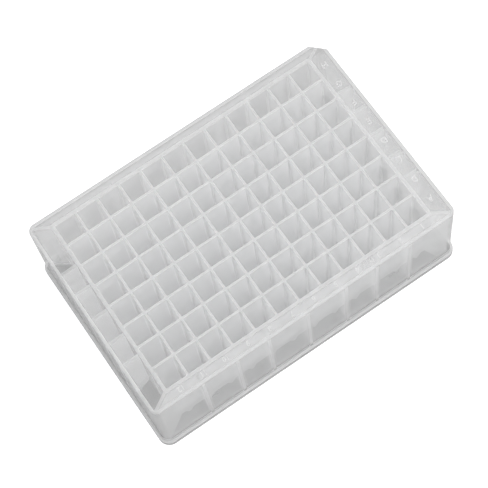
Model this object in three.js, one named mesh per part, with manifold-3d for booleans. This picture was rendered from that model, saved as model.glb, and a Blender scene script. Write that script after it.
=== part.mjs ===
// 96-well deep-well storage plate: one polypropylene moulding with square wells that
// end in rounded bottoms, a sloping deck, a ribbed skirt, a stacking flange and one
// notched corner beside well H1.
// Millimetres, +Z up, origin at the middle of the footprint on the table.
// Column 1 is at -X and row A at +Y.

import * as THREE from 'three';
import { mergeVertices } from 'three/addons/utils/BufferGeometryUtils.js';
import Module from 'manifold-3d';

// Well array
const WELL_PITCH = 9;
const COLUMNS = 12;
const ROWS = 8;
const PLATE_HEIGHT = 40.4;
const INNER_WALL = 0.8;
const RIM_WIDTH = 1.25;
const WELL_DRAFT = 0.17;
const WELL_CORNER = 0.75;
const WELL_ROUND_DEPTH = 5;
const WELL_FLOOR = 1.3;
const TABLE_CLEARANCE = 1.4;

// Underside of the wells: height of the rounded ends and of the clefts between them
const ROUNDED_END = 5.5;
const CLEFT_HEIGHT = 2.3;
const END_CORNER = 1.6;

// Deck between the wells and the skirt
const END_BORDER = 8.25;
const SIDE_BORDER = 5.05;
const RIM_RISE = 0.35;
const DECK_FALL = 0.85;
const WALL = 1.2;
const LIP_WIDTH = 1.3;
const LIP_RISE = 0.25;

// Skirt, notch and flange
const SKIRT_CORNER = 2.8;
const NOTCH = 4.8;
const SKIRT_DRAFT = 0.3;
const EDGE_RADIUS = 0.5;
const FLANGE_STEP = 1.15;
const FLANGE_HEIGHT = 2.4;
const FLANGE_FILLET = 0.5;
const STACK_CLEARANCE = 0.35;
const STACK_DEPTH = 1.2;

// Ribs that tie the skirt to the wells, as positions from the middle of each side. A rib
// runs to each corner too.
const RIB_THICKNESS = 1;
const RIB_LIFT = 1;
const SIDE_RIBS = [-42.6, -28.7, -15.9, 0, 15.9, 28.7, 42.6];
const END_RIBS = [-19.8, -10.7, 0, 10.7, 19.8];

// Sizes that follow from those above
const WELL_HALF = (WELL_PITCH - INNER_WALL) / 2;
const CELL_HALF = WELL_HALF + RIM_WIDTH;
const BLOCK_X = ((COLUMNS - 1) * WELL_PITCH) / 2 + CELL_HALF;
const BLOCK_Y = ((ROWS - 1) * WELL_PITCH) / 2 + CELL_HALF;
const TOP_X = (COLUMNS * WELL_PITCH) / 2 + END_BORDER;
const TOP_Y = (ROWS * WELL_PITCH) / 2 + SIDE_BORDER;
const WELL_END = TABLE_CLEARANCE + WELL_FLOOR;
const BLOCK_BOTTOM = TABLE_CLEARANCE + ROUNDED_END + CLEFT_HEIGHT;
const DECK_INNER_Z = PLATE_HEIGHT - RIM_RISE;
const DECK_OUTER_Z = DECK_INNER_Z - DECK_FALL;
const FLANGE_OUT = SKIRT_DRAFT + FLANGE_STEP;

const CORNER_STEPS = 4;
const OCTAGON_CUT = 2 - Math.SQRT2;
const NOTCH_OFFSET = 2 - Math.SQRT2;

const wasm = await Module();
wasm.setup();

/** Outline of the plate, grown by offset, with the notch at the -X, -Y corner. */
function plateRing(offset, z, corner = SKIRT_CORNER + offset, notch = NOTCH + NOTCH_OFFSET * offset) {
  return boxRing(TOP_X + offset, TOP_Y + offset, corner, z, notch);
}

/** Rectangle with rounded corners, counter-clockwise seen from above. */
function boxRing(halfX, halfY, radius, z, notch = 0) {
  const ring = [];
  for (let side = 0; side < 4; side += 1) {
    const signX = side === 0 || side === 3 ? 1 : -1;
    const signY = side < 2 ? 1 : -1;
    for (let step = 0; step <= CORNER_STEPS; step += 1) {
      const along = step / CORNER_STEPS;
      if (notch > 0 && side === 2) {
        ring.push(new THREE.Vector3(-halfX + notch * along, -halfY + notch * (1 - along), z));
        continue;
      }
      const angle = ((side + along) * Math.PI) / 2;
      const x = signX * (halfX - radius) + radius * Math.cos(angle);
      const y = signY * (halfY - radius) + radius * Math.sin(angle);
      ring.push(new THREE.Vector3(x, y, z));
    }
  }
  return ring;
}

/** Square with cut corners around a well's axis. A cut of OCTAGON_CUT * half is round. */
function cellRing(centre, half, cut, z) {
  const inner = half - cut;
  const corners = [
    [half, -inner], [half, inner], [inner, half], [-inner, half],
    [-half, inner], [-half, -inner], [-inner, -half], [inner, -half],
  ];
  return corners.map(([x, y]) => new THREE.Vector3(centre.x + x, centre.y + y, z));
}

/** Closed skin through rings of equal length, stacked from the first cap to the last. */
function loft(rings) {
  const count = rings[0].length;
  const positions = rings.flat().flatMap((point) => point.toArray());
  const index = [];
  for (let level = 0; level < rings.length - 1; level += 1) {
    for (let i = 0; i < count; i += 1) {
      const a = level * count + i;
      const b = level * count + ((i + 1) % count);
      index.push(a, b, b + count, a, b + count, a + count);
    }
  }
  const last = (rings.length - 1) * count;
  for (let i = 1; i < count - 1; i += 1) {
    index.push(0, i + 1, i);
    index.push(last, last + i, last + i + 1);
  }
  const geometry = new THREE.BufferGeometry();
  geometry.setAttribute('position', new THREE.Float32BufferAttribute(positions, 3));
  geometry.setIndex(index);
  return geometry;
}

/** Turns a closed geometry into a solid that can be joined and cut. */
function solid(geometry) {
  const bare = new THREE.BufferGeometry();
  bare.setAttribute('position', geometry.getAttribute('position'));
  bare.setIndex(geometry.getIndex());
  const merged = mergeVertices(bare, 1e-4);
  const vertProperties = new Float32Array(merged.getAttribute('position').array);
  const triVerts = new Uint32Array(merged.getIndex().array);
  return new wasm.Manifold(new wasm.Mesh({ numProp: 3, vertProperties, triVerts }));
}

/** Turns a solid back into a flat-shaded geometry. */
function toGeometry(body) {
  const mesh = body.getMesh();
  const geometry = new THREE.BufferGeometry();
  geometry.setAttribute('position', new THREE.Float32BufferAttribute(mesh.vertProperties, 3));
  geometry.setIndex(Array.from(mesh.triVerts));
  const flat = geometry.toNonIndexed();
  flat.computeVertexNormals();
  return flat;
}

/** Axis of every well, row by row. */
function wellCentres() {
  const centres = [];
  for (let row = 0; row < ROWS; row += 1) {
    for (let column = 0; column < COLUMNS; column += 1) {
      const x = (column - (COLUMNS - 1) / 2) * WELL_PITCH;
      const y = ((ROWS - 1) / 2 - row) * WELL_PITCH;
      centres.push(new THREE.Vector2(x, y));
    }
  }
  return centres;
}

/** Hollow of one well: tapered walls that blend from a square mouth to a round floor. */
function wellHollow(centre) {
  const straightEnd = WELL_END + WELL_ROUND_DEPTH;
  const lowHalf = WELL_HALF - WELL_DRAFT;
  const above = 1;
  const taper = WELL_DRAFT / (PLATE_HEIGHT - straightEnd);
  const bowlHalf = WELL_HALF * 0.74;
  const floorHalf = WELL_HALF * 0.32;
  return solid(loft([
    cellRing(centre, floorHalf, OCTAGON_CUT * floorHalf, WELL_END),
    cellRing(centre, bowlHalf, OCTAGON_CUT * bowlHalf, WELL_END + WELL_ROUND_DEPTH * 0.28),
    cellRing(centre, lowHalf, WELL_CORNER * 1.5, straightEnd),
    cellRing(centre, WELL_HALF + taper * above, WELL_CORNER, PLATE_HEIGHT + above),
  ]));
}

/** Outside of one well's end, from inside the block down to its rounded tip. */
function wellEnd(centre) {
  const bowlHalf = CELL_HALF * 0.72;
  const tipHalf = CELL_HALF * 0.34;
  const roundTop = TABLE_CLEARANCE + ROUNDED_END;
  return solid(loft([
    cellRing(centre, tipHalf, OCTAGON_CUT * tipHalf, TABLE_CLEARANCE),
    cellRing(centre, bowlHalf, OCTAGON_CUT * bowlHalf, TABLE_CLEARANCE + ROUNDED_END * 0.3),
    cellRing(centre, CELL_HALF, END_CORNER, roundTop),
    cellRing(centre, CELL_HALF, END_CORNER, BLOCK_BOTTOM + 0.5),
  ]));
}

/** Skirt, flange and deck as one thin shell, open below and lying over the well block. */
function shell() {
  const lipTop = DECK_OUTER_Z + LIP_RISE;
  const flangeCorner = SKIRT_CORNER + FLANGE_OUT;
  const turned = EDGE_RADIUS * (1 - Math.SQRT1_2);
  const outside = loft([
    plateRing(FLANGE_OUT, 0, flangeCorner, 0),
    plateRing(FLANGE_OUT, FLANGE_HEIGHT - 0.3, flangeCorner, 0),
    plateRing(FLANGE_OUT - 0.3, FLANGE_HEIGHT, flangeCorner - 0.3, 0),
    plateRing(SKIRT_DRAFT + FLANGE_FILLET, FLANGE_HEIGHT),
    plateRing(SKIRT_DRAFT + FLANGE_FILLET * 0.3, FLANGE_HEIGHT + FLANGE_FILLET * 0.3),
    plateRing(SKIRT_DRAFT, FLANGE_HEIGHT + FLANGE_FILLET),
    plateRing(0, lipTop - EDGE_RADIUS),
    plateRing(-turned, lipTop - turned),
    plateRing(-EDGE_RADIUS, lipTop),
    plateRing(LIP_RISE - LIP_WIDTH, lipTop),
    plateRing(-LIP_WIDTH, DECK_OUTER_Z),
    boxRing(BLOCK_X - 0.3, BLOCK_Y - 0.3, 1, DECK_INNER_Z),
  ]);
  const inside = loft([
    plateRing(STACK_CLEARANCE, -1),
    plateRing(STACK_CLEARANCE, STACK_DEPTH),
    plateRing(SKIRT_DRAFT - WALL, STACK_DEPTH),
    plateRing(-WALL, DECK_OUTER_Z - WALL),
    boxRing(BLOCK_X - 0.3, BLOCK_Y - 0.3, 1, DECK_INNER_Z - WALL),
  ]);
  return solid(outside).subtract(solid(inside));
}

/** Upright web from a point in the well block's wall, where its foot is at innerFoot, to the skirt. */
function rib(inner, outer, innerFoot = BLOCK_BOTTOM + RIB_LIFT) {
  const reach = outer.clone().sub(inner);
  const outline = new THREE.Shape([
    new THREE.Vector2(reach.length(), STACK_DEPTH + RIB_LIFT),
    new THREE.Vector2(reach.length(), DECK_OUTER_Z - WALL / 2),
    new THREE.Vector2(0, DECK_INNER_Z - WALL / 2),
    new THREE.Vector2(0, innerFoot),
  ]);
  const web = new THREE.ExtrudeGeometry(outline, { depth: RIB_THICKNESS, bevelEnabled: false });
  web.translate(0, 0, -RIB_THICKNESS / 2);
  const along = new THREE.Vector3(reach.x, reach.y, 0).normalize();
  const up = new THREE.Vector3(0, 0, 1);
  const across = new THREE.Vector3().crossVectors(along, up);
  web.applyMatrix4(new THREE.Matrix4().makeBasis(along, up, across));
  web.translate(inner.x, inner.y, 0);
  return solid(web);
}

/** Web from a corner of the well block to the middle of the skirt's corner, with a level foot. */
function cornerRib(signX, signY) {
  const notched = signX < 0 && signY < 0;
  const arcInset = (SKIRT_CORNER - WALL / 2) * Math.SQRT1_2 - SKIRT_CORNER;
  const inset = notched ? -NOTCH / 2 - (WALL / 2) * Math.SQRT1_2 : arcInset;
  const inner = new THREE.Vector2(BLOCK_X - RIM_WIDTH, BLOCK_Y - RIM_WIDTH);
  const outer = new THREE.Vector2(TOP_X + inset, TOP_Y + inset);
  const quarter = new THREE.Vector2(signX, signY);
  return rib(inner.multiply(quarter), outer.multiply(quarter), STACK_DEPTH + RIB_LIFT);
}

/** All ribs: the same rows of webs on both long sides and on both ends, and one per corner. */
function ribs() {
  const blockY = BLOCK_Y - RIM_WIDTH / 2;
  const blockX = BLOCK_X - RIM_WIDTH / 2;
  const skirtY = TOP_Y - WALL / 2;
  const skirtX = TOP_X - WALL / 2;
  const webs = [];
  for (const sign of [1, -1]) {
    for (const x of SIDE_RIBS) {
      webs.push(rib(new THREE.Vector2(x, sign * blockY), new THREE.Vector2(x, sign * skirtY)));
    }
    for (const y of END_RIBS) {
      webs.push(rib(new THREE.Vector2(sign * blockX, y), new THREE.Vector2(sign * skirtX, y)));
    }
    webs.push(cornerRib(sign, 1), cornerRib(sign, -1));
  }
  return webs;
}

/** Outer form of the wells: a solid block with one rounded end under every well. */
function wellBlock(centres) {
  const block = solid(loft([
    boxRing(BLOCK_X, BLOCK_Y, END_CORNER, BLOCK_BOTTOM),
    boxRing(BLOCK_X, BLOCK_Y, END_CORNER, PLATE_HEIGHT),
  ]));
  return centres.reduce((body, centre) => body.add(wellEnd(centre)), block);
}

const centres = wellCentres();
let plate = wellBlock(centres).add(shell());
for (const web of ribs()) {
  plate = plate.add(web);
}
for (const centre of centres) {
  plate = plate.subtract(wellHollow(centre));
}

const polypropylene = new THREE.MeshStandardMaterial({
  color: 0xd8dadb,
  roughness: 0.38,
  metalness: 0,
});
const wellPlate = new THREE.Mesh(toGeometry(plate), polypropylene);
wellPlate.name = 'well_plate';

const object = new THREE.Group();
object.name = 'deep_well_plate';
object.add(wellPlate);

export default object;
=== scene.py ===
import logging
import math
from dataclasses import dataclass, field
from enum import Enum
from functools import cached_property

import bpy
from mathutils import Matrix, Vector


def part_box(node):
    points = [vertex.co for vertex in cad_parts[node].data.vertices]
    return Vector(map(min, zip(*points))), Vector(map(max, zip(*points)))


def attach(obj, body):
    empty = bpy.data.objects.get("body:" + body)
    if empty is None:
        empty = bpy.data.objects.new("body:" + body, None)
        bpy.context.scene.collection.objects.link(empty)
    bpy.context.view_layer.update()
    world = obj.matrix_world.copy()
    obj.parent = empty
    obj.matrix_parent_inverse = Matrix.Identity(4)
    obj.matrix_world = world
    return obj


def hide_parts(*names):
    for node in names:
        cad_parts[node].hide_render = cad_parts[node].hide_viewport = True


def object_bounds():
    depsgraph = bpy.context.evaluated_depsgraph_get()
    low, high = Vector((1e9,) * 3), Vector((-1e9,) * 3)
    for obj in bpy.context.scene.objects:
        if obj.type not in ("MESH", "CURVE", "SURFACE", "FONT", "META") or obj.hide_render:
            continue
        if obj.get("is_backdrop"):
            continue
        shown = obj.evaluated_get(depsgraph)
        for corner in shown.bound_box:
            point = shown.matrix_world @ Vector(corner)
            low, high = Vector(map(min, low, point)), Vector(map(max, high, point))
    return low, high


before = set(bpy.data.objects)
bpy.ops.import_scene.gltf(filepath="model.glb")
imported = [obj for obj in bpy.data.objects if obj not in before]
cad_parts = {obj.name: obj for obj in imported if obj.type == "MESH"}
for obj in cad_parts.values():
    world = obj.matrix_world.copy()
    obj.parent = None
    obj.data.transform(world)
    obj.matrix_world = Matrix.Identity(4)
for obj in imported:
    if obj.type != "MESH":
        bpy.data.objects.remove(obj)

MM = 0.001
PACKED_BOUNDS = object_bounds()
NODE = "well_plate"
BODY = "root"

log = logging.getLogger("well_plate")

Ring = list[tuple[float, float, float]]
Edge = tuple[float, float]


class Join(Enum):
    """How one solid meets another."""

    UNION = "UNION"
    DIFFERENCE = "DIFFERENCE"


@dataclass(frozen=True)
class PlateSizes:
    """Sizes of the moulding in millimetres.

    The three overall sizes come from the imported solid, and the rest are the
    mould's own.
    """

    foot_x: float
    foot_y: float
    height: float
    pitch: float = 9.0
    columns: int = 12
    rows: int = 8
    inner_wall: float = 0.8
    rim_width: float = 1.25
    well_draft: float = 0.17
    well_corner: float = 0.45
    well_low_corner: float = 0.75
    mouth_fillet: float = 0.2
    well_round_depth: float = 5.0
    well_floor: float = 1.3
    table_clearance: float = 1.4
    rounded_end: float = 5.5
    cleft_rise: float = 2.3
    block_corner: float = 1.6
    rim_rise: float = 0.35
    deck_fall: float = 0.85
    wall: float = 1.2
    lip_width: float = 1.3
    lip_rise: float = 0.25
    skirt_corner: float = 2.8
    notch: float = 4.8
    skirt_draft: float = 0.3
    edge_radius: float = 0.5
    flange_step: float = 1.15
    flange_height: float = 2.4
    flange_fillet: float = 0.5
    stack_clearance: float = 0.35
    stack_depth: float = 1.2
    rib_thickness: float = 1.0
    rib_lift: float = 1.0
    side_ribs: tuple[float, ...] = (-42.6, -28.7, -15.9, 0.0, 15.9, 28.7, 42.6)
    end_ribs: tuple[float, ...] = (-19.8, -10.7, 0.0, 10.7, 19.8)

    @classmethod
    def from_packed(cls) -> "PlateSizes":
        """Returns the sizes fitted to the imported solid's box."""
        low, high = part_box(NODE)
        return cls(foot_x=high[0] / MM, foot_y=high[1] / MM, height=(high[2] - low[2]) / MM)

    @property
    def well_half(self) -> float:
        """Half of a well's mouth."""
        return (self.pitch - self.inner_wall) / 2

    @property
    def cell_half(self) -> float:
        """From a well's axis to the outer face of the block."""
        return self.well_half + self.rim_width

    @property
    def block_x(self) -> float:
        """Half of the well block's length."""
        return (self.columns - 1) * self.pitch / 2 + self.cell_half

    @property
    def block_y(self) -> float:
        """Half of the well block's width."""
        return (self.rows - 1) * self.pitch / 2 + self.cell_half

    @property
    def flange_out(self) -> float:
        """How far the flange stands out past the deck's outline."""
        return self.skirt_draft + self.flange_step

    @property
    def top_x(self) -> float:
        """Half of the deck's length."""
        return self.foot_x - self.flange_out

    @property
    def top_y(self) -> float:
        """Half of the deck's width."""
        return self.foot_y - self.flange_out

    @property
    def deck_inner_z(self) -> float:
        """Height of the deck beside the wells."""
        return self.height - self.rim_rise

    @property
    def deck_outer_z(self) -> float:
        """Height of the deck at its outer edge."""
        return self.deck_inner_z - self.deck_fall

    @property
    def well_end(self) -> float:
        """Height of a well's floor."""
        return self.table_clearance + self.well_floor

    @property
    def block_bottom(self) -> float:
        """Height of the block's lower edge between two rounded ends."""
        return self.table_clearance + self.rounded_end + self.cleft_rise

    @property
    def corner_rib_x(self) -> float:
        """Where a corner rib starts in the block's wall, along X."""
        return self.block_x - self.rim_width

    @property
    def corner_rib_y(self) -> float:
        """Where a corner rib starts in the block's wall, along Y."""
        return self.block_y - self.rim_width

    @property
    def corner_rib_inset(self) -> float:
        """How far inside the deck's outline a corner rib ends, along X and along Y."""
        return self.skirt_corner - (self.skirt_corner - self.wall / 2) * math.sqrt(0.5)

    def column_x(self, column: int) -> float:
        """Position of a column of wells, counted from 0 at -X."""
        return (column - (self.columns - 1) / 2) * self.pitch

    def row_y(self, row: int) -> float:
        """Position of a row of wells, counted from 0 at +Y."""
        return ((self.rows - 1) / 2 - row) * self.pitch


@dataclass
class Skin:
    """Points and faces of closed surfaces, in millimetres."""

    points: list[tuple[float, float, float]] = field(default_factory=list)
    faces: list[tuple[int, ...]] = field(default_factory=list)

    def add_ring(self, ring: Ring) -> list[int]:
        """Adds a ring's points.

        Args:
            ring: The points.

        Returns:
            Their numbers.
        """
        first = len(self.points)
        self.points.extend(ring)
        return list(range(first, first + len(ring)))

    def bridge(self, lower: list[int], upper: list[int]) -> None:
        """Joins two rings of equal length by a band of quads.

        Args:
            lower: Numbers of one ring's points.
            upper: Numbers of the other ring's points.
        """
        count = len(lower)
        for i in range(count):
            j = (i + 1) % count
            self.faces.append((lower[i], lower[j], upper[j], upper[i]))

    def loft(self, rings: list[Ring], looped: bool = False) -> None:
        """Adds a closed skin through rings of equal length.

        Args:
            rings: Rings from the lower cap to the upper one.
            looped: True to join the last ring to the first instead of capping.
        """
        numbers = [self.add_ring(ring) for ring in rings]
        for lower, upper in zip(numbers, numbers[1:]):
            self.bridge(lower, upper)
        if looped:
            self.bridge(numbers[-1], numbers[0])
            return
        self.faces.append(tuple(reversed(numbers[0])))
        self.faces.append(tuple(numbers[-1]))

    def make(self, name: str) -> bpy.types.Object:
        """Turns the skin into an object in metres.

        Args:
            name: Name of the object and its mesh.

        Returns:
            The new object, linked to the scene.
        """
        mesh = bpy.data.meshes.new(name)
        scaled = [(x * MM, y * MM, z * MM) for x, y, z in self.points]
        mesh.from_pydata(scaled, [], self.faces)
        mesh.validate()
        made = bpy.data.objects.new(name, mesh)
        bpy.context.scene.collection.objects.link(made)
        return made


def combine(body: bpy.types.Object, tool: bpy.types.Object, join: Join) -> None:
    """Joins or cuts one closed object by another, which is used up.

    Args:
        body: The object that is changed.
        tool: The object that is joined to it or cut from it.
        join: Which of the two to do.
    """
    modifier = body.modifiers.new(join.value.lower(), "BOOLEAN")
    modifier.operation = join.value
    modifier.solver = "MANIFOLD"
    modifier.object = tool
    settle(body)
    bpy.data.objects.remove(tool, do_unlink=True)


def settle(made: bpy.types.Object) -> None:
    """Applies every modifier of an object to its mesh.

    Args:
        made: The object.
    """
    depsgraph = bpy.context.evaluated_depsgraph_get()
    mesh = bpy.data.meshes.new_from_object(made.evaluated_get(depsgraph))
    made.modifiers.clear()
    old = made.data
    made.data = mesh
    bpy.data.meshes.remove(old)


@dataclass
class Outlines:
    """Plan outlines of the plate, all with one number of points per corner and side."""

    sizes: PlateSizes
    steps: int = 10
    least_radius: float = 0.3
    notch_radius: float = 0.9
    least_notch_radius: float = 0.2

    def rounded(self, half_x: float, half_y: float, radius: float, z: float) -> Ring:
        """Rectangle with round corners, counter-clockwise seen from above.

        Args:
            half_x: Half of its length.
            half_y: Half of its width.
            radius: Radius of its corners.
            z: Height of the ring.

        Returns:
            The ring.
        """
        ring: Ring = []
        for side in range(4):
            ring.extend(self._corner(side, half_x, half_y, radius, z))
            ring.extend(self._straight(side, half_x, half_y, z))
        return ring

    def notched(self, offset: float, z: float) -> Ring:
        """The deck's outline grown by an offset, with the notch beside well H1.

        Args:
            offset: How far the outline lies outside the deck's own.
            z: Height of the ring.

        Returns:
            The ring.
        """
        sizes = self.sizes
        half_x = sizes.top_x + offset
        half_y = sizes.top_y + offset
        radius = max(self.least_radius, sizes.skirt_corner + offset)
        ring: Ring = []
        for side in range(4):
            if side == 2:
                ring.extend(self._notch(half_x, half_y, offset, z))
            else:
                ring.extend(self._corner(side, half_x, half_y, radius, z))
            ring.extend(self._straight(side, half_x, half_y, z))
        return ring

    def _straight(self, side: int, half_x: float, half_y: float, z: float) -> Ring:
        """Points along one straight side, each midway between two ribs.

        Args:
            side: Number of the side, from 0 at +Y, counter-clockwise.
            half_x: Half of the outline's length.
            half_y: Half of the outline's width.
            z: Height of the points.

        Returns:
            The points.
        """
        ribs = self.sizes.end_ribs if side % 2 else self.sizes.side_ribs
        middles = [(a + b) / 2 for a, b in zip(ribs, ribs[1:])]
        if side == 0:
            return [(x, half_y, z) for x in reversed(middles)]
        if side == 1:
            return [(-half_x, y, z) for y in reversed(middles)]
        if side == 2:
            return [(x, -half_y, z) for x in middles]
        return [(half_x, y, z) for y in middles]

    def _corner(self, side: int, half_x: float, half_y: float, radius: float, z: float) -> Ring:
        """Arc around one corner.

        Args:
            side: Number of the side that the corner leads to.
            half_x: Half of the outline's length.
            half_y: Half of the outline's width.
            radius: Radius of the arc.
            z: Height of the points.

        Returns:
            The points.
        """
        sign_x = 1 if side in (0, 3) else -1
        sign_y = 1 if side < 2 else -1
        ring: Ring = []
        for step in range(self.steps + 1):
            angle = (side + step / self.steps) * math.pi / 2
            x = sign_x * (half_x - radius) + radius * math.cos(angle)
            y = sign_y * (half_y - radius) + radius * math.sin(angle)
            ring.append((x, y, z))
        return ring

    def _notch(self, half_x: float, half_y: float, offset: float, z: float) -> Ring:
        """Slanting cut across the -X, -Y corner, with its two ends rounded.

        Args:
            half_x: Half of the outline's length.
            half_y: Half of the outline's width.
            offset: How far the outline lies outside the deck's own.
            z: Height of the points.

        Returns:
            The points.
        """
        cut = self.sizes.notch + (2 - math.sqrt(2)) * offset
        radius = max(self.least_notch_radius, self.notch_radius + offset)
        reach = radius * math.tan(math.pi / 8)
        first = (-half_x + radius, -half_y + cut + reach)
        second = (-half_x + cut + reach, -half_y + radius)
        ring: Ring = []
        half_steps = self.steps // 2
        for centre, start in ((first, math.pi), (second, math.pi * 1.25)):
            for step in range(half_steps + 1):
                angle = start + step / half_steps * math.pi / 4
                x = centre[0] + radius * math.cos(angle)
                y = centre[1] + radius * math.sin(angle)
                ring.append((x, y, z))
        del ring[half_steps]
        return ring


@dataclass
class WellBlock:
    """The block that holds the wells, with a rounded end under each of them."""

    sizes: PlateSizes
    outlines: Outlines
    steps: tuple[float, ...] = (-0.5, -0.47, -0.42, -0.35, -0.26, -0.15, 0.0, 0.15, 0.26, 0.35, 0.42, 0.47)
    edge_steps: tuple[float, ...] = (0.4, 0.7, 0.88, 0.97, 1.0)
    cleft_reach: float = 0.63
    body_below_rim: float = 1.0
    rim_depth: float = 1.4
    rim_radius: float = 0.2
    rim_steps: int = 4

    def build(self) -> bpy.types.Object:
        """Builds the block with its rim.

        Returns:
            The two as one closed object.
        """
        block = self._body()
        combine(block, self._rim(), Join.UNION)
        return block

    def _lines(self, count: int, half: float) -> list[float]:
        """Grid lines across the wells, closer together in the clefts.

        Args:
            count: Number of wells along this side.
            half: Half of the block's size along this side.

        Returns:
            Rising positions from one face of the block to the other.
        """
        pitch = self.sizes.pitch
        inner = [((well - (count - 1) / 2) + step) * pitch for well in range(count) for step in self.steps]
        inner.append(count * pitch / 2)
        edge = half - count * pitch / 2
        outer = [count * pitch / 2 + edge * share for share in self.edge_steps]
        return [-x for x in reversed(outer)] + inner + outer

    def _end_height(self, x: float, y: float) -> float:
        """Height of the underside over one point of the plan.

        Args:
            x: Place along the plate.
            y: Place across the plate.

        Returns:
            The height.
        """
        sizes = self.sizes
        across = self._from_axis(x, sizes.columns)
        along = self._from_axis(y, sizes.rows)
        square = (across ** 4 + along ** 4) ** 0.25
        round_ = math.hypot(across, along)
        blend = min(1.0, square / sizes.cell_half) ** 2
        reach = round_ * (1 - blend) + square * blend
        share = min(1.0, reach / sizes.cell_half)
        height = sizes.table_clearance + sizes.rounded_end * (1 - math.sqrt(1 - share * share))
        return height + max(0.0, reach - sizes.cell_half) * sizes.cleft_rise / self.cleft_reach

    def _from_axis(self, position: float, count: int) -> float:
        """Distance from a position to the nearest well's axis.

        Args:
            position: Place along one side of the grid.
            count: Number of wells along that side.

        Returns:
            The distance.
        """
        pitch = self.sizes.pitch
        well = round(position / pitch + (count - 1) / 2)
        well = min(count - 1, max(0, well))
        return abs(position - (well - (count - 1) / 2) * pitch)

    def _body(self) -> bpy.types.Object:
        """Builds the sides and underside of the block.

        Returns:
            The object, closed by a flat top inside the deck.
        """
        sizes = self.sizes
        skin = Skin()
        xs = self._lines(sizes.columns, sizes.block_x)
        ys = self._lines(sizes.rows, sizes.block_y)
        wide = len(xs)
        skin.points = [(x, y, self._end_height(x, y)) for y in ys for x in xs]
        for j in range(len(ys) - 1):
            for i in range(wide - 1):
                a = j * wide + i
                skin.faces.append((a, a + wide, a + wide + 1, a + 1))
        edge = list(range(wide))
        edge += [j * wide + wide - 1 for j in range(1, len(ys))]
        edge += [(len(ys) - 1) * wide + i for i in range(wide - 2, -1, -1)]
        edge += [j * wide for j in range(len(ys) - 2, 0, -1)]
        top_z = sizes.height - self.body_below_rim
        top = skin.add_ring([(skin.points[i][0], skin.points[i][1], top_z) for i in edge])
        skin.bridge(edge, top)
        skin.faces.append(tuple(top))
        return skin.make("block")

    def _rim(self) -> bpy.types.Object:
        """Builds the raised top of the block.

        Returns:
            The object, with its outer edge rounded.
        """
        height = self.sizes.height
        radius = self.rim_radius
        rings = [self._rim_ring(0.0, height - self.rim_depth)]
        for step in range(self.rim_steps + 1):
            angle = step / self.rim_steps * math.pi / 2
            inset = radius * (1 - math.cos(angle))
            rings.append(self._rim_ring(inset, height - radius + radius * math.sin(angle)))
        skin = Skin()
        skin.loft(rings)
        return skin.make("rim")

    def _rim_ring(self, inset: float, z: float) -> Ring:
        """Outline of the rim at one height.

        Args:
            inset: How far it lies inside the block's faces.
            z: The height.

        Returns:
            The ring.
        """
        sizes = self.sizes
        corner = sizes.block_corner - inset
        return self.outlines.rounded(sizes.block_x - inset, sizes.block_y - inset, corner, z)


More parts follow.
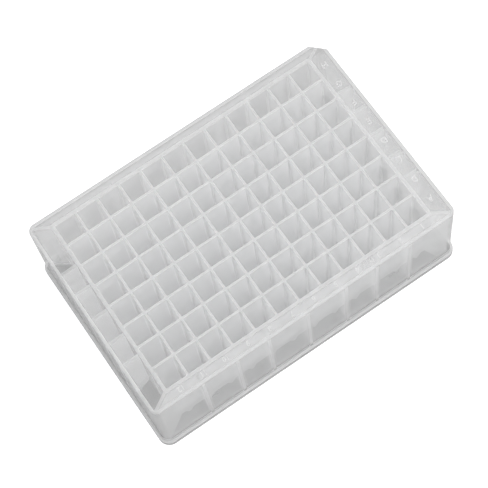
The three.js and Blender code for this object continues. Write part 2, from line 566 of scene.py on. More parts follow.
@dataclass
class Shell:
    """Deck, lip, skirt and flange as one thin wall around the block."""

    sizes: PlateSizes
    outlines: Outlines
    foot_chamfer: float = 0.15
    flange_round: float = 0.3
    round_steps: int = 4
    lip_steps: int = 5
    under_deck_chamfer: float = 0.4
    tuck: float = 0.5
    tuck_corner: float = 1.1

    def build(self) -> bpy.types.Object:
        """Builds the shell.

        Returns:
            One closed object.
        """
        skin = Skin()
        skin.loft(self._outside() + self._inside(), looped=True)
        return skin.make("shell")

    def _plain(self, offset: float, z: float) -> Ring:
        """Outline without the notch, as the flange has it.

        Args:
            offset: How far it lies outside the deck's own.
            z: Height of the ring.

        Returns:
            The ring.
        """
        sizes = self.sizes
        corner = sizes.skirt_corner + offset
        return self.outlines.rounded(sizes.top_x + offset, sizes.top_y + offset, corner, z)

    def _outside(self) -> list[Ring]:
        """Rings from the flange's foot up the skirt and over the deck.

        Returns:
            The rings in that order.
        """
        sizes = self.sizes
        out = sizes.flange_out
        rings = [self._plain(out - self.foot_chamfer, 0.0), self._plain(out, self.foot_chamfer)]
        rings += [self._plain(out - dx, z) for dx, z in self._turn(self.flange_round, sizes.flange_height)]
        notched = self.outlines.notched
        fillet = sizes.flange_fillet
        for step in range(self.round_steps + 1):
            angle = step / self.round_steps * math.pi / 2
            offset = sizes.skirt_draft + fillet * (1 - math.sin(angle))
            rings.append(notched(offset, sizes.flange_height + fillet * (1 - math.cos(angle))))
        foot = sizes.flange_height + fillet
        lip_top = sizes.deck_outer_z + sizes.lip_rise
        rings += self._between(sizes.skirt_draft, foot, 0.0, lip_top - sizes.edge_radius)
        rings += [notched(-dx, z) for dx, z in self._turn(sizes.edge_radius, lip_top)]
        for step in range(self.lip_steps + 1):
            share = step / self.lip_steps
            offset = sizes.lip_width - 2 * sizes.lip_rise * (1 - share)
            rise = sizes.lip_rise * (1 + math.cos(share * math.pi)) / 2
            rings.append(notched(-offset, sizes.deck_outer_z + rise))
        rings.append(self._tucked(sizes.deck_inner_z))
        return rings

    def _tucked(self, z: float) -> Ring:
        """Outline just inside the block's faces."""
        half_x, half_y = self.sizes.block_x - self.tuck, self.sizes.block_y - self.tuck
        return self.outlines.rounded(half_x, half_y, self.tuck_corner, z)

    def _turn(self, radius: float, top: float) -> list[tuple[float, float]]:
        """Quarter round from an upright face to a flat one.

        Args:
            radius: Radius of the rounding.
            top: Height of the flat face.

        Returns:
            Distance inside the upright face and height of each step.
        """
        turn = []
        for step in range(self.round_steps + 1):
            angle = step / self.round_steps * math.pi / 2
            turn.append((radius * (1 - math.cos(angle)), top - radius + radius * math.sin(angle)))
        return turn

    def _inside(self) -> list[Ring]:
        """Rings from under the deck down the skirt's inner face to its foot.

        Returns:
            The rings in that order.
        """
        sizes = self.sizes
        notched = self.outlines.notched
        under = sizes.deck_outer_z - sizes.wall
        chamfer = self.under_deck_chamfer
        rings = [
            self._tucked(sizes.deck_inner_z - sizes.wall),
            notched(-sizes.wall - chamfer, under),
            notched(-sizes.wall, under - chamfer),
        ]
        rings += self._between(-sizes.wall, under - chamfer, sizes.skirt_draft - sizes.wall, sizes.stack_depth)
        rings += [
            notched(sizes.skirt_draft - sizes.wall, sizes.stack_depth),
            notched(sizes.stack_clearance, sizes.stack_depth),
            notched(sizes.stack_clearance, 0.0),
        ]
        return rings

    def _between(self, first: float, first_z: float, last: float, last_z: float, count: int = 4) -> list[Ring]:
        """Rings that part a tall face into bands.

        Args:
            first: Offset of the ring that the bands start from.
            first_z: Height of that ring.
            last: Offset of the ring that they end at.
            last_z: Height of that ring.
            count: Number of rings between the two.

        Returns:
            The rings between the two, without either.
        """
        rings = []
        for step in range(1, count + 1):
            share = step / (count + 1)
            offset = first + (last - first) * share
            rings.append(self.outlines.notched(offset, first_z + (last_z - first_z) * share))
        return rings


@dataclass
class Ribs:
    """Upright webs between the skirt and the block."""

    sizes: PlateSizes

    def build(self) -> bpy.types.Object:
        """Builds all webs.

        Returns:
            One object of separate closed solids.
        """
        sizes = self.sizes
        sunk = sizes.rim_width / 2
        foot = sizes.block_bottom + sizes.rib_lift
        skin = Skin()
        for sign in (1, -1):
            for x in sizes.side_ribs:
                inner = Vector((x, sign * (sizes.block_y - sunk)))
                outer = Vector((x, sign * (sizes.top_y - sizes.wall / 2)))
                self._web(skin, inner, outer, foot)
            for y in sizes.end_ribs:
                inner = Vector((sign * (sizes.block_x - sunk), y))
                outer = Vector((sign * (sizes.top_x - sizes.wall / 2), y))
                self._web(skin, inner, outer, foot)
            self._corner_web(skin, sign, 1)
            self._corner_web(skin, sign, -1)
        return skin.make("ribs")

    def _corner_web(self, skin: Skin, sign_x: int, sign_y: int) -> None:
        """Adds the web from a corner of the block to the same corner of the skirt.

        Args:
            skin: Skin that takes the web.
            sign_x: Side of the plate along X.
            sign_y: Side of the plate along Y.
        """
        sizes = self.sizes
        inset = sizes.corner_rib_inset
        if sign_x < 0 and sign_y < 0:
            inset = sizes.notch / 2 + sizes.wall / 2 * math.sqrt(0.5)
        inner = Vector((sign_x * sizes.corner_rib_x, sign_y * sizes.corner_rib_y))
        outer = Vector((sign_x * (sizes.top_x - inset), sign_y * (sizes.top_y - inset)))
        self._web(skin, inner, outer, sizes.stack_depth + sizes.rib_lift)

    def _web(self, skin: Skin, inner: Vector, outer: Vector, inner_foot: float) -> None:
        """Adds one web.

        Args:
            skin: Skin that takes the web.
            inner: End of its middle line in the block's wall, seen from above.
            outer: End of its middle line in the skirt's wall.
            inner_foot: Height of its lower edge at the block.
        """
        sizes = self.sizes
        profile = [
            (inner, inner_foot),
            (outer, sizes.stack_depth + sizes.rib_lift),
            (outer, sizes.deck_outer_z - sizes.wall / 2),
            (inner, sizes.deck_inner_z - sizes.wall / 2),
        ]
        along = (outer - inner).normalized()
        across = Vector((along.y, -along.x)) * sizes.rib_thickness / 2
        rings = []
        for side in (-1, 1):
            rings.append([(*(end + side * across), z) for end, z in profile])
        skin.loft(rings)


@dataclass
class Wells:
    """Hollows of the wells: square at the mouth, tapered and round-bottomed."""

    sizes: PlateSizes
    corner_steps: int = 7
    bowl_steps: int = 8
    mouth_steps: int = 4
    mouth_turn: float = 84.0
    mouth_reach: float = 1.1
    over_rim: float = 0.3

    def build(self) -> bpy.types.Object:
        """Builds every hollow.

        Returns:
            One object of separate closed solids.
        """
        sizes = self.sizes
        skin = Skin()
        for row in range(sizes.rows):
            for column in range(sizes.columns):
                self._hollow(skin, sizes.column_x(column), sizes.row_y(row))
        return skin.make("hollows")

    def _hollow(self, skin: Skin, x: float, y: float) -> None:
        """Adds the hollow of one well.

        Args:
            skin: Skin that takes the hollow.
            x: Place of the well's axis along the plate.
            y: Place of its axis across the plate.
        """
        sizes = self.sizes
        low_half = sizes.well_half - sizes.well_draft
        rings = []
        for step in range(1, self.bowl_steps + 1):
            angle = step / self.bowl_steps * math.pi / 2
            half = low_half * math.sin(angle)
            z = sizes.well_end + sizes.well_round_depth * (1 - math.cos(angle))
            square = math.sin(angle) ** 3
            corner = half * (1 - square) + sizes.well_low_corner * square
            rings.append(self._ring(x, y, half, min(corner, half), z))
        mouth_z = sizes.height - sizes.mouth_fillet
        for step in range(self.mouth_steps + 1):
            angle = step / self.mouth_steps * math.radians(self.mouth_turn)
            out = sizes.mouth_fillet * (1 - math.cos(angle))
            z = mouth_z + sizes.mouth_fillet * math.sin(angle)
            rings.append(self._ring(x, y, sizes.well_half + out, sizes.well_corner + out, z))
        wide = sizes.well_half + sizes.mouth_fillet * self.mouth_reach
        corner = sizes.well_corner + sizes.mouth_fillet
        rings.append(self._ring(x, y, wide, corner, sizes.height + self.over_rim))
        skin.loft(rings)

    def _ring(self, x: float, y: float, half: float, corner: float, z: float) -> Ring:
        """Square with round corners about a well's axis.

        Args:
            x: Place of the axis along the plate.
            y: Place of the axis across the plate.
            half: Half of the square's side.
            corner: Radius of its corners.
            z: Height of the ring.

        Returns:
            The ring.
        """
        ring: Ring = []
        flat = half - corner
        for side in range(4):
            sign_x = 1 if side in (0, 3) else -1
            sign_y = 1 if side < 2 else -1
            for step in range(self.corner_steps + 1):
                angle = (side + step / self.corner_steps) * math.pi / 2
                px = x + sign_x * flat + corner * math.cos(angle)
                py = y + sign_y * flat + corner * math.sin(angle)
                ring.append((px, py, z))
        return ring


@dataclass
class ShaderNumber:
    """A number in a shader, so that maths reads as an expression."""

    sheet: "ShaderSheet"
    socket: bpy.types.NodeSocket

    def _do(self, operation: str, first: object, second: object) -> "ShaderNumber":
        """Adds one Math node and returns its result."""
        node = self.sheet.add("ShaderNodeMath", {"operation": operation}, {0: first, 1: second})
        return ShaderNumber(self.sheet, node.outputs[0])

    def __add__(self, other: object) -> "ShaderNumber":
        """self + other."""
        return self._do("ADD", self, other)

    def __radd__(self, other: object) -> "ShaderNumber":
        """other + self."""
        return self._do("ADD", other, self)

    def __sub__(self, other: object) -> "ShaderNumber":
        """self - other."""
        return self._do("SUBTRACT", self, other)

    def __rsub__(self, other: object) -> "ShaderNumber":
        """other - self."""
        return self._do("SUBTRACT", other, self)

    def __mul__(self, other: object) -> "ShaderNumber":
        """self * other."""
        return self._do("MULTIPLY", self, other)

    def __rmul__(self, other: object) -> "ShaderNumber":
        """other * self."""
        return self._do("MULTIPLY", other, self)

    def larger(self, other: object) -> "ShaderNumber":
        """The larger of self and other."""
        return self._do("MAXIMUM", self, other)

    def smaller(self, other: object) -> "ShaderNumber":
        """The smaller of self and other."""
        return self._do("MINIMUM", self, other)

    def diagonal(self, other: object) -> "ShaderNumber":
        """Length of the diagonal over two sides at right angles."""
        squares = self * self + other * other
        return self._do("POWER", squares, 0.5)

    def apart(self, spacing: float) -> "ShaderNumber":
        """Distance to the nearest multiple of a spacing."""
        return self._do("PINGPONG", self, spacing / 2)

    def size(self) -> "ShaderNumber":
        """Self without its sign."""
        return self._do("ABSOLUTE", self, 0.0)

    def ramp(self, start: float, end: float) -> "ShaderNumber":
        """Mask that rises smoothly from 0 to 1.

        Args:
            start: Where it is still 0. It may be the larger of the two.
            end: Where it has reached 1.

        Returns:
            The mask.
        """
        rising = start < end
        settings = {"interpolation_type": "SMOOTHSTEP"}
        low, high = (start, end) if rising else (end, start)
        limits = {"Value": self, "From Min": low, "From Max": high}
        limits["To Min"], limits["To Max"] = (0.0, 1.0) if rising else (1.0, 0.0)
        return self.sheet.number("ShaderNodeMapRange", "Result", settings, limits)


class ShaderSheet:
    """The node sheet of one material or world."""

    def __init__(self, tree: bpy.types.NodeTree) -> None:
        """Empties the tree and takes it over."""
        self.tree = tree
        tree.nodes.clear()

    def add(self, kind: str, settings: dict | None = None, inputs: dict | None = None) -> bpy.types.Node:
        """Adds one node.

        Args:
            kind: Node type.
            settings: Properties of the node, set before its sockets.
            inputs: Value, socket or ShaderNumber for each input socket.

        Returns:
            The new node.
        """
        node = self.tree.nodes.new(kind)
        for key, value in (settings or {}).items():
            setattr(node, key, value)
        for key, value in (inputs or {}).items():
            socket = node.inputs[key]
            if isinstance(value, ShaderNumber):
                value = value.socket
            if isinstance(value, bpy.types.NodeSocket):
                self.tree.links.new(value, socket)
            else:
                socket.default_value = value
        return node

    def number(self, kind: str, output: str, settings: dict | None = None, inputs: dict | None = None) -> ShaderNumber:
        """Adds a node and wraps one of its outputs as a number."""
        return ShaderNumber(self, self.add(kind, settings, inputs).outputs[output])


@dataclass(frozen=True)
class ShaderPlace:
    """A place on the plate, in millimetres, with and without the sign of x."""

    signed_x: ShaderNumber
    x: ShaderNumber
    y: ShaderNumber
    z: ShaderNumber

    @classmethod
    def split(cls, sheet: ShaderSheet, place: bpy.types.NodeSocket) -> "ShaderPlace":
        """Splits a position up.

        Args:
            sheet: Sheet of the material.
            place: Position in metres, in the plate's frame.

        Returns:
            The place, with x and y without their signs.
        """
        parts = sheet.add("ShaderNodeSeparateXYZ", {}, {0: place})
        x, y, z = (ShaderNumber(sheet, output) * (1 / MM) for output in parts.outputs)
        return cls(x, x.size(), y.size(), z)


@dataclass(frozen=True)
class PlateZones:
    """Masks of the plate's zones, each 1 in its zone and 0 outside it.

    The fields give the two distances, in millimetres, between which a mask
    rises from 0 to 1. Heights count from the part that the field names.
    """

    sizes: PlateSizes
    place: ShaderPlace
    past_face: Edge = (0.02, 0.06)
    rib_side: Edge = (0.7, 0.45)
    lip_side: Edge = (0.7, 0.5)
    below_deck_edge: Edge = (-0.3, -0.8)
    below_lip_edge: Edge = (-0.5, -1.5)
    above_flange_edge: Edge = (0.2, 0.6)
    onto_lip: Edge = (-0.5, 0.0)
    onto_deck: Edge = (-0.2, 0.0)
    onto_flange: Edge = (0.2, 0.0)
    flange_shade_edge: Edge = (0.1, -0.05)
    fillet_middle: float = 0.875
    fillet_side: Edge = (1.125, 0.925)
    upright_side: Edge = (-0.25, -0.1)
    below_flange_edge: Edge = (0.0, -0.3)
    onto_rim: Edge = (-0.4, -0.15)
    pillar_side: Edge = (1.3, 0.9)
    down_pillar: Edge = (-1.0, -12.0)
    collar_side: Edge = (-0.1, 0.1)
    onto_collar: Edge = (-0.7, -0.4)
    wall_side: Edge = (-0.25, -0.05)
    below_collar: Edge = (-0.5, -1.5)
    up_wall: Edge = (8.0, 24.0)
    down_skirt: Edge = (36.0, 24.0)
    up_end: Edge = (16.0, 30.0)
    mitre_side: Edge = (-0.2, 0.2)
    corner_reach: float = 3.0

    def level(self, base: float, edge: Edge) -> ShaderNumber:
        """Mask that rises by height, over an edge counted from a base."""
        return self.place.z.ramp(base + edge[0], base + edge[1])

    @cached_property
    def off_block(self) -> ShaderNumber:
        """Distance outside the block's faces."""
        return (self.place.x - self.sizes.block_x).larger(self.place.y - self.sizes.block_y)

    @cached_property
    def off_deck(self) -> ShaderNumber:
        """Distance outside the deck's outline."""
        return (self.place.x - self.sizes.top_x).larger(self.place.y - self.sizes.top_y)

    @cached_property
    def off_mitre(self) -> ShaderNumber:
        """Distance outside a corner rib's middle line.

        Returns:
            The distance, above 0 towards the end.
        """
        sizes = self.sizes
        start = Vector((sizes.corner_rib_x, sizes.corner_rib_y))
        end = Vector((sizes.top_x - sizes.corner_rib_inset, sizes.top_y - sizes.corner_rib_inset))
        along = (end - start).normalized()
        return (self.place.x - start.x) * along.y - (self.place.y - start.y) * along.x

    @cached_property
    def shell(self) -> ShaderNumber:
        """Deck, lip, skirt and flange."""
        return self.off_block.ramp(*self.past_face)

    @cached_property
    def past_side(self) -> ShaderNumber:
        """Everything beyond the block's long sides."""
        return (self.place.y - self.sizes.block_y).ramp(*self.past_face)

    @cached_property
    def past_end(self) -> ShaderNumber:
        """Everything beyond the block's ends."""
        return (self.place.x - self.sizes.block_x).ramp(*self.past_face)

    @cached_property
    def below_deck(self) -> ShaderNumber:
        """Everything below the deck's outer edge."""
        return self.level(self.sizes.deck_outer_z, self.below_deck_edge)

    @cached_property
    def below_lip(self) -> ShaderNumber:
        """Everything below the lip's rounding."""
        return self.level(self.sizes.deck_outer_z, self.below_lip_edge)

    def near(self, position: ShaderNumber, ribs: tuple[float, ...]) -> ShaderNumber:
        """Distance to the nearest of some ribs.

        Args:
            position: Place along the ribs' side, without its sign.
            ribs: Places of the ribs, the same on both halves of the side.

        Returns:
            The distance.
        """
        distances = [(position - rib).size() for rib in ribs if rib >= 0]
        nearest = distances[0]
        for distance in distances[1:]:
            nearest = nearest.smaller(distance)
        return nearest

    def ribs(self) -> ShaderNumber:
        """Skirt over each straight rib and deck over each corner rib.

        Returns:
            The mask.
        """
        side = self.near(self.place.x, self.sizes.side_ribs).ramp(*self.rib_side) * self.past_side
        end = self.near(self.place.y, self.sizes.end_ribs).ramp(*self.rib_side) * self.past_end
        above_flange = self.level(self.sizes.flange_height, self.above_flange_edge)
        mitre = self.off_mitre.size().ramp(*self.rib_side) * self.shell * (1 - self.below_deck)
        return (side.larger(end) * self.below_deck * above_flange).larger(mitre)

    def lip(self) -> ShaderNumber:
        """Lip round the deck."""
        middle = (self.off_deck + self.sizes.lip_width / 2).size()
        return middle.ramp(*self.lip_side) * self.level(self.sizes.deck_outer_z, self.onto_lip)

    def deck(self) -> ShaderNumber:
        """Deck and lip."""
        return self.level(self.sizes.deck_outer_z - self.sizes.wall, self.onto_deck) * self.shell

    def flange(self) -> ShaderNumber:
        """Flange at the foot."""
        return self.level(self.sizes.flange_height, self.onto_flange) * self.shell

    def fillet(self) -> ShaderNumber:
        """Fillet between flange and skirt."""
        middle = self.place.z - self.sizes.flange_height - self.fillet_middle
        return middle.size().ramp(*self.fillet_side) * self.shell

    def upright(self) -> ShaderNumber:
        """Upright outer face of the flange."""
        outer = (self.off_deck - self.sizes.flange_out).ramp(*self.upright_side)
        return outer * self.level(self.sizes.flange_height, self.below_flange_edge)

    def rim(self) -> ShaderNumber:
        """Top of the grid of wells."""
        return self.level(self.sizes.height, self.onto_rim)

    def pillar(self) -> ShaderNumber:
        """Crossings of the walls between the wells, stronger further down."""
        off = self.place.x.apart(self.sizes.pitch).larger(self.place.y.apart(self.sizes.pitch))
        return off.ramp(*self.pillar_side) * self.level(self.sizes.height, self.down_pillar)

    def collar(self) -> ShaderNumber:
        """Rim round the whole block."""
        outer = (self.off_block + self.sizes.rim_width).ramp(*self.collar_side)
        return outer * self.level(self.sizes.height, self.onto_collar)

    def outer_wall_shade(self) -> ShaderNumber:
        """Painted shade on the thicker wall round the block, fading out towards its foot.

        Returns:
            The mask.
        """
        inner, outer = self.past_face
        wall = (self.off_block + self.sizes.rim_width).ramp(*self.wall_side) * self.off_block.ramp(outer, inner)
        return wall * self.level(self.sizes.height, self.below_collar) * self.level(0.0, self.up_wall)

    def flange_shade(self) -> ShaderNumber:
        """Flange without its top face's rounding, where shade is painted."""
        return self.level(self.sizes.flange_height, self.flange_shade_edge) * self.shell

    def side_corner(self) -> ShaderNumber:
        """Last part of each long side of the skirt, beside the ends, where shade is painted."""
        low, high = self.sizes.block_x - self.corner_reach, self.sizes.block_x + self.corner_reach
        return self.place.x.ramp(low, high) * self.past_side * self.below_lip

    def end_skirt(self) -> ShaderNumber:
        """Upper part of the skirt's ends, where shade is painted."""
        across = self.place.y.ramp(self.sizes.block_y + self.corner_reach, self.sizes.block_y)
        return self.past_end * self.level(0.0, self.up_end) * self.below_lip * across


@dataclass(frozen=True)
class HollowShade:
    """Shade of the hollow under the wells, as it shows low on the skirt's long sides.

    Its ragged upper edge dips between the wells, and its ends slant outwards
    towards the foot.
    """

    top: float = 23.6
    top_edge: float = 0.4
    ragged_scale: float = 600.0
    dip: float = 2.7
    dip_share: Edge = (0.28, 0.5)
    pitch: float = 8.7
    shift: float = 2.15
    reach: float = 51.2
    reach_edge: float = 0.6
    slant: float = 0.38
    high: float = 0.9
    low: float = 0.45
    fade: Edge = (5.0, 19.0)
    off_rib: Edge = (0.9, 1.5)

    def draw(self, sheet: ShaderSheet, place: bpy.types.NodeSocket, zones: PlateZones) -> ShaderNumber:
        """Draws the shade.

        Args:
            sheet: Sheet of the material.
            place: Position in metres, in the plate's frame.
            zones: Masks of the plate's zones.

        Returns:
            Strength of the shade, from 0 to 1.
        """
        noise = {"Vector": place, "Scale": self.ragged_scale, "Detail": 2.0}
        ragged = sheet.number("ShaderNodeTexNoise", "Fac", {}, noise)
        spot = zones.place
        x = spot.signed_x - self.shift
        dip = x.apart(self.pitch).ramp(self.dip_share[0] * self.pitch, self.dip_share[1] * self.pitch)
        below = (self.top - self.dip * dip + (ragged - 0.5) - spot.z).ramp(0.0, self.top_edge)
        within = (self.reach + self.slant * (self.top - spot.z) - x.size()).ramp(0.0, self.reach_edge)
        off_rib = zones.near(spot.x, zones.sizes.side_ribs).ramp(*self.off_rib)
        strength = self.low + (self.high - self.low) * spot.z.ramp(*self.fade)
        return below * within * off_rib * strength * zones.past_side


@dataclass(frozen=True)
class NaturalPolypropylene:
    """Milky, see-through polypropylene, as it leaves the mould.

    Thick places, such as the lip and the skirt over each rib, are milkier than
    the thin walls around them. Each field that ends in _clear is the share of
    light that passes a face of that zone unscattered.
    """

    sizes: PlateSizes
    colour: tuple[float, float, float] = (0.989, 0.99, 0.992)
    haze: tuple[float, float, float] = (0.978, 0.98, 0.983)
    # Grey that is mixed in where shade is painted onto the plastic.
    painted_shade_colour: tuple[float, float, float] = (0.72, 0.72, 0.72)
    roughness: float = 0.34
    uneven_roughness: float = 0.12
    flow_scale: float = 55.0
    grain_scale: float = 1800.0
    grain_strength: float = 0.15
    grain_depth: float = 0.00003
    through_share: float = 0.5
    uneven_clear: float = 0.05
    block_clear: float = 0.68
    pillar_clear: float = 0.58
    rim_clear: float = 0.45
    collar_clear: float = 0.42
    side_clear: float = 0.71
    end_clear: float = 0.70
    foot_milkier: float = 0.05
    shade_clearer: float = 0.07
    side_deck_clear: float = 0.74
    end_deck_clear: float = 0.9
    flange_clear: float = 0.68
    upright_clear: float = 0.9
    fillet_clear: float = 0.1
    rib_clear: float = 0.45
    lip_clear: float = 0.4
    # Strengths of the painted shade on the skirt's corners and on its ends.
    corner_shade: float = 0.5
    end_shade: float = 0.4
    shade: HollowShade = HollowShade()

    def build(self, name: str, milkier: float = 0.0) -> bpy.types.Material:
        """Makes the material.

        Args:
            name: Name of the material.
            milkier: Share of clear passage taken from every face.

        Returns:
            The new material.
        """
        material = bpy.data.materials.new(name)
        material.use_nodes = True
        sheet = ShaderSheet(material.node_tree)
        place = sheet.add("ShaderNodeTexCoord").outputs["Object"]
        zones = PlateZones(self.sizes, ShaderPlace.split(sheet, place))
        shade = self.shade.draw(sheet, place, zones)
        flow_noise = {"Vector": place, "Scale": self.flow_scale, "Detail": 3.0}
        flow = sheet.number("ShaderNodeTexNoise", "Fac", {}, flow_noise)
        body = self._scattering(sheet, place, flow, self._painted_shade(zones, shade))
        through = sheet.add("ShaderNodeBsdfTranslucent", {}, {"Color": (*self.colour, 1.0)})
        milky = sheet.add("ShaderNodeMixShader", {}, {0: self.through_share, 1: body.outputs[0], 2: through.outputs[0]})
        clear = sheet.add("ShaderNodeBsdfTransparent", {}, {"Color": (1.0, 1.0, 1.0, 1.0)})
        share = self._clear_share(zones, shade) + self.uneven_clear * (flow - 0.5) - milkier
        mixed = sheet.add("ShaderNodeMixShader", {}, {0: share, 1: milky.outputs[0], 2: clear.outputs[0]})
        sheet.add("ShaderNodeOutputMaterial", {}, {"Surface": mixed.outputs[0]})
        return material

    def _scattering(
        self, sheet: ShaderSheet, place: bpy.types.NodeSocket, flow: ShaderNumber, darker: ShaderNumber
    ) -> bpy.types.Node:
        """Adds the surface that throws light back.

        Args:
            sheet: Sheet of the material.
            place: Position in metres, in the plate's frame.
            flow: Unevenness of the plastic, around a half.
            darker: Share of the grey that paints shade.

        Returns:
            The surface's node.
        """
        grain_noise = {"Vector": place, "Scale": self.grain_scale, "Detail": 2.0}
        grain = sheet.number("ShaderNodeTexNoise", "Fac", {}, grain_noise)
        relief = {"Strength": self.grain_strength, "Distance": self.grain_depth, "Height": grain}
        bump = sheet.add("ShaderNodeBump", {}, relief)
        colours = {"data_type": "RGBA"}
        tint = sheet.add("ShaderNodeMix", colours, {0: flow, 6: (*self.haze, 1.0), 7: (*self.colour, 1.0)})
        # Painted shade: the grey is mixed in by the darker share.
        tint = sheet.add("ShaderNodeMix", colours, {0: darker, 6: tint.outputs[2], 7: (*self.painted_shade_colour, 1.0)})
        rough = self.roughness + self.uneven_roughness * (flow - 0.5)
        look = {"Base Color": tint.outputs[2], "Roughness": rough, "IOR": 1.49, "Normal": bump.outputs[0]}
        return sheet.add("ShaderNodeBsdfPrincipled", {}, look)

    def _painted_shade(self, zones: PlateZones, shade: ShaderNumber) -> ShaderNumber:
        """Share of the grey that paints shade onto the plastic, by place.

        Args:
            zones: Masks of the plate's zones.
            shade: Shade low on the skirt.

        Returns:
            1 where the shade is painted darkest and 0 where the plastic keeps its own colour.
        """
        # Painted shade at the long sides' corners and on the skirt's ends.
        corner = self.corner_shade * zones.side_corner()
        end = self.end_shade * zones.end_skirt()
        return zones.outer_wall_shade().larger(zones.flange_shade()).larger(shade).larger(corner).larger(end)

    def _clear_share(self, zones: PlateZones, shade: ShaderNumber) -> ShaderNumber:
        """How much of the light passes each face unscattered, by place.

        Args:
            zones: Masks of the plate's zones.
            shade: Shade low on the skirt, where the plastic looks clearer.

        Returns:
            The share, from 0 to 1.
        """
        share = self.block_clear + zones.pillar() * (self.pillar_clear - self.block_clear)
        only_end = zones.past_end * (1 - zones.past_side)
        skirt = self.side_clear + only_end * (self.end_clear - self.side_clear)
        skirt = skirt - self.foot_milkier * zones.level(0.0, zones.down_skirt) + self.shade_clearer * shade
        deck_change = self.end_deck_clear - self.side_deck_clear
        deck = self.side_deck_clear + zones.off_mitre.ramp(*zones.mitre_side) * deck_change
        for zone, goal in (
            (zones.rim(), self.rim_clear),
            (zones.collar(), self.collar_clear),
            (zones.shell, skirt),
            (zones.deck(), deck),
            (zones.flange(), self.flange_clear),
            (zones.upright(), self.upright_clear),
            (zones.fillet(), self.fillet_clear),
            (zones.ribs(), self.rib_clear),
            (zones.lip(), self.lip_clear),
        ):
            share = share + zone * (goal - share)
        return share


@dataclass(frozen=True)
class PaleBench:
    """White bench with a soft shadow under the plate, partly rendered and partly painted.

    The edge fields count outwards from the foot's outline, in millimetres.
    """

    sizes: PlateSizes
    open_colour: float = 0.5
    # The greys under the plate and under the flange's ring are painted shadow.
    shaded_colour: float = 0.49
    contact_shadow_colour: float = 0.33
    contact_edge: Edge = (-2.0, -1.5)
    open_edge: Edge = (-0.8, -0.1)
    lift: float = 0.78
    roughness: float = 0.85
    mottle_scale: float = 3.0
    uneven_roughness: float = 0.1

    def build(self, name: str) -> bpy.types.Material:
        """Makes the material.

        Args:
            name: Name of the material.

        Returns:
            The new material.
        """
        material = bpy.data.materials.new(name)
        material.use_nodes = True
        sheet = ShaderSheet(material.node_tree)
        place = sheet.add("ShaderNodeTexCoord").outputs["Object"]
        mottle = sheet.number("ShaderNodeTexNoise", "Fac", {}, {"Vector": place, "Scale": self.mottle_scale})
        outside = self._outside_foot(ShaderPlace.split(sheet, place))
        past = outside.ramp(*self.open_edge)
        grey = self.shaded_colour + outside.ramp(*self.contact_edge) * (self.contact_shadow_colour - self.shaded_colour)
        grey = grey + past * (self.open_colour - grey)
        colour = sheet.add("ShaderNodeCombineXYZ", {}, {0: grey, 1: grey, 2: grey})
        rough = self.roughness + self.uneven_roughness * (mottle - 0.5)
        look = {"Base Color": colour.outputs[0], "Roughness": rough}
        matte = sheet.add("ShaderNodeBsdfPrincipled", {}, look)
        # The glow to white stops at the foot, so the bench under the plate keeps a painted shadow.
        lift = self.lift * seen_directly(sheet) * past
        glow = sheet.add("ShaderNodeEmission", {}, {"Color": (1.0, 1.0, 1.0, 1.0), "Strength": lift})
        mixed = sheet.add("ShaderNodeAddShader", {}, {0: matte.outputs[0], 1: glow.outputs[0]})
        sheet.add("ShaderNodeOutputMaterial", {}, {"Surface": mixed.outputs[0]})
        return material

    def _outside_foot(self, place: ShaderPlace) -> ShaderNumber:
        """Distance outside the foot's outline.

        Args:
            place: Place on the bench.

        Returns:
            The distance in millimetres, below 0 under the plate.
        """
        corner = self.sizes.skirt_corner + self.sizes.flange_out
        x = place.x - (self.sizes.foot_x - corner)
        y = place.y - (self.sizes.foot_y - corner)
        round_off = x.larger(0.0).diagonal(y.larger(0.0))
        return round_off + x.larger(y).smaller(0.0) - corner


def seen_directly(sheet: ShaderSheet, through_plastic: float = 0.05) -> ShaderNumber:
    """Marks rays that show the backdrop: from the camera, in gloss or through the plate.

    Args:
        sheet: Sheet of the material or world.
        through_plastic: Share for camera rays that have passed a clear face.

    Returns:
        1 for such rays and 0 for the rest.
    """
    path = sheet.add("ShaderNodeLightPath")
    depth = ShaderNumber(sheet, path.outputs["Transparent Depth"])
    bare = sheet.number("ShaderNodeMath", 0, {"operation": "LESS_THAN"}, {0: depth, 1: 0.5})
    camera = ShaderNumber(sheet, path.outputs["Is Camera Ray"]) * (bare + through_plastic * (1 - bare))
    glossy = ShaderNumber(sheet, path.outputs["Is Glossy Ray"])
    through = ShaderNumber(sheet, path.outputs["Is Transmission Ray"])
    return camera.larger(glossy).larger(through)


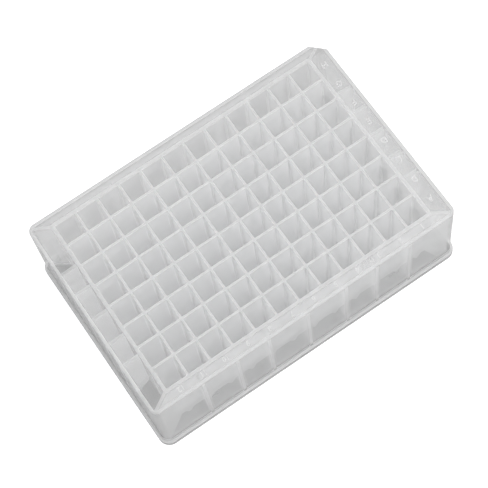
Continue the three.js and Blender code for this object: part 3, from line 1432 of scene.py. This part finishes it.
@dataclass
class Lettering:
    """Raised row letters and column numbers on the deck."""

    sizes: PlateSizes
    letters: str = "ABCDEFGH"
    letter_height: float = 2.3
    letter_out: float = 2.9
    number_height: float = 1.9
    number_out: float = 1.25
    size_to_height: float = 1.42
    rise: float = 0.12
    bevel: float = 0.04

    def build(self) -> tuple[bpy.types.Object, bpy.types.Object]:
        """Builds the marks.

        Returns:
            The row letters and the column numbers, each as one object.
        """
        sizes = self.sizes
        x = -(sizes.block_x + self.letter_out)
        y = sizes.block_y + self.number_out
        letters = [
            self._character(self.letters[row], self.letter_height, x, sizes.row_y(row))
            for row in range(sizes.rows)
        ]
        numbers = [
            self._character(str(column + 1), self.number_height, sizes.column_x(column), y)
            for column in range(sizes.columns)
        ]
        return self._gather("row_letters", letters), self._gather("column_numbers", numbers)

    def _deck_height(self, x: float, y: float) -> float:
        """Height of the sloping deck.

        Args:
            x: Place along the plate.
            y: Place across the plate.

        Returns:
            The height there.
        """
        sizes = self.sizes
        inset = sizes.lip_width
        across = (abs(x) - sizes.block_x) / (sizes.top_x - inset - sizes.block_x)
        along = (abs(y) - sizes.block_y) / (sizes.top_y - inset - sizes.block_y)
        return sizes.deck_inner_z - sizes.deck_fall * max(0.0, min(1.0, max(across, along)))

    def _character(self, text: str, height: float, x: float, y: float) -> bpy.types.Mesh:
        """Mesh of one character, laid on the deck.

        Args:
            text: The character or number.
            height: Height of its capitals.
            x: Place of its middle along the plate.
            y: Place of its middle across the plate.

        Returns:
            The mesh, in metres and in the plate's frame.
        """
        curve = bpy.data.curves.new("character", "FONT")
        curve.body = text
        curve.size = height * self.size_to_height * MM
        curve.extrude = self.rise * MM
        curve.bevel_depth = self.bevel * MM
        curve.resolution_u = 3
        curve.align_x = "CENTER"
        curve.align_y = "CENTER"
        holder = bpy.data.objects.new("character", curve)
        bpy.context.scene.collection.objects.link(holder)
        depsgraph = bpy.context.evaluated_depsgraph_get()
        mesh = bpy.data.meshes.new_from_object(holder.evaluated_get(depsgraph))
        bpy.data.objects.remove(holder, do_unlink=True)
        mesh.transform(Matrix.Translation((x * MM, y * MM, self._deck_height(x, y) * MM)))
        return mesh

    def _gather(self, name: str, meshes: list[bpy.types.Mesh]) -> bpy.types.Object:
        """Joins the characters' meshes.

        Args:
            name: Name of the new object.
            meshes: The meshes, which are used up.

        Returns:
            One object.
        """
        skin = Skin()
        for mesh in meshes:
            first = len(skin.points)
            skin.points.extend(tuple(vertex.co / MM) for vertex in mesh.vertices)
            skin.faces.extend(tuple(first + i for i in polygon.vertices) for polygon in mesh.polygons)
            bpy.data.meshes.remove(mesh)
        return skin.make(name)


@dataclass
class Plate:
    """The whole moulding with its lettering."""

    sizes: PlateSizes
    smooth_angle: float = 32.0
    letters_milkier: float = 0.35
    numbers_milkier: float = 0.07

    def build(self) -> list[bpy.types.Object]:
        """Builds, places and dresses the plate.

        Returns:
            The moulding, the row letters and the column numbers.
        """
        outlines = Outlines(self.sizes)
        moulding = WellBlock(self.sizes, outlines).build()
        combine(moulding, Shell(self.sizes, outlines).build(), Join.UNION)
        combine(moulding, Ribs(self.sizes).build(), Join.UNION)
        combine(moulding, Wells(self.sizes).build(), Join.DIFFERENCE)
        moulding.name = "plate_moulding"
        letters, numbers = Lettering(self.sizes).build()
        finish = NaturalPolypropylene(self.sizes)
        self._dress(moulding, finish.build("natural_polypropylene"))
        self._dress(letters, finish.build("lettering_polypropylene", self.letters_milkier))
        self._dress(numbers, finish.build("numbering_polypropylene", self.numbers_milkier))
        return [moulding, letters, numbers]

    def _dress(self, piece: bpy.types.Object, finish: bpy.types.Material) -> None:
        """Smooths a piece, gives it its finish and hangs it on the body.

        Args:
            piece: The piece.
            finish: Its material.
        """
        mesh = piece.data
        mesh.materials.clear()
        mesh.materials.append(finish)
        for polygon in mesh.polygons:
            polygon.use_smooth = True
            polygon.material_index = 0
        mesh.set_sharp_from_angle(angle=math.radians(self.smooth_angle))
        normals = piece.modifiers.new("weighted_normals", "WEIGHTED_NORMAL")
        normals.keep_sharp = True
        settle(piece)
        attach(piece, BODY)
        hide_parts(NODE)


@dataclass(frozen=True)
class Lamp:
    """Soft square lamp that faces the plate, in metres and watts."""

    name: str
    place: tuple[float, float, float]
    size: float
    power: float

    def build(self) -> None:
        """Adds the lamp to the scene."""
        lamp = bpy.data.lights.new(self.name, "AREA")
        lamp.energy = self.power
        lamp.size = self.size
        holder = bpy.data.objects.new(self.name, lamp)
        holder.location = self.place
        holder.rotation_euler = (-Vector(self.place)).to_track_quat("-Z", "Y").to_euler()
        bpy.context.scene.collection.objects.link(holder)


@dataclass
class Studio:
    """Bench, lamps, world and camera.

    The camera looks down over row A's side. Its three directions are those of
    its right, its top and its back, and its place counts in millimetres from
    the plate's rim.
    """

    sizes: PlateSizes
    lamps: tuple[Lamp, ...] = (Lamp("key", (-0.1, 0.4, 1.0), 0.7, 4.5), Lamp("fill", (-0.2, -0.1, 1.1), 0.9, 2.3))
    surround: float = 0.37
    bench_half: float = 2500.0
    bench_gap: float = 0.05
    sensor_width: float = 36.0
    lens: float = 119.107
    camera_place: tuple[float, float, float] = (80.04483, 187.19046, 517.10423)
    camera_right: tuple[float, float, float] = (-0.82548125, 0.55983079, -0.07190407)
    camera_up: tuple[float, float, float] = (-0.54728292, -0.76272125, 0.34458337)
    camera_back: tuple[float, float, float] = (0.13806562, 0.32379898, 0.93599792)

    def build(self) -> None:
        """Adds everything that isn't the plate."""
        self._bench()
        self._world()
        for lamp in self.lamps:
            lamp.build()
        self._camera()

    def _bench(self) -> None:
        """Adds the bench just under the plate."""
        skin = Skin()
        half = self.bench_half
        skin.points = [(x * half, y * half, -self.bench_gap) for x, y in ((-1, -1), (1, -1), (1, 1), (-1, 1))]
        skin.faces = [(0, 1, 2, 3)]
        bench = skin.make("bench")
        bench.data.materials.append(PaleBench(self.sizes).build("pale_bench"))
        bench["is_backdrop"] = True

    def _world(self) -> None:
        """Adds even white surroundings, dimmer where they only light the plate."""
        world = bpy.data.worlds.new("surroundings")
        bpy.context.scene.world = world
        world.use_nodes = True
        sheet = ShaderSheet(world.node_tree)
        strength = self.surround + (1 - self.surround) * seen_directly(sheet)
        glow = sheet.add("ShaderNodeBackground", {}, {"Color": (1.0, 1.0, 1.0, 1.0), "Strength": strength})
        sheet.add("ShaderNodeOutputWorld", {}, {"Surface": glow.outputs[0]})

    def _camera(self) -> None:
        """Adds the camera and makes it the scene's own."""
        camera = bpy.data.cameras.new("camera")
        camera.sensor_width = self.sensor_width
        camera.lens = self.lens
        camera.clip_start = 0.01
        camera.clip_end = 20.0
        holder = bpy.data.objects.new("camera", camera)
        turn = Matrix((self.camera_right, self.camera_up, self.camera_back)).transposed().to_4x4()
        x, y, z = self.camera_place
        place = Vector((x, y, z + self.sizes.height)) * MM
        holder.matrix_world = Matrix.Translation(place) @ turn
        bpy.context.scene.collection.objects.link(holder)
        bpy.context.scene.camera = holder


def write_sizes() -> None:
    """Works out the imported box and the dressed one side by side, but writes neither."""
    boxes = [[[float(value) for value in corner] for corner in bounds] for bounds in (PACKED_BOUNDS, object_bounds())]


def main() -> None:
    """Builds the plate and the studio around it."""
    logging.basicConfig(level=logging.INFO, format="%(name)s: %(message)s")
    bpy.context.scene.view_settings.view_transform = "Standard"
    light = bpy.context.scene.cycles
    light.max_bounces = 32
    light.diffuse_bounces = 24
    light.transmission_bounces = 24
    light.transparent_max_bounces = 48
    sizes = PlateSizes.from_packed()
    for piece in Plate(sizes).build():
        log.info("%s: %d points, %d faces", piece.name, len(piece.data.vertices), len(piece.data.polygons))
    Studio(sizes).build()
    write_sizes()


if __name__ == "__main__":
    main()
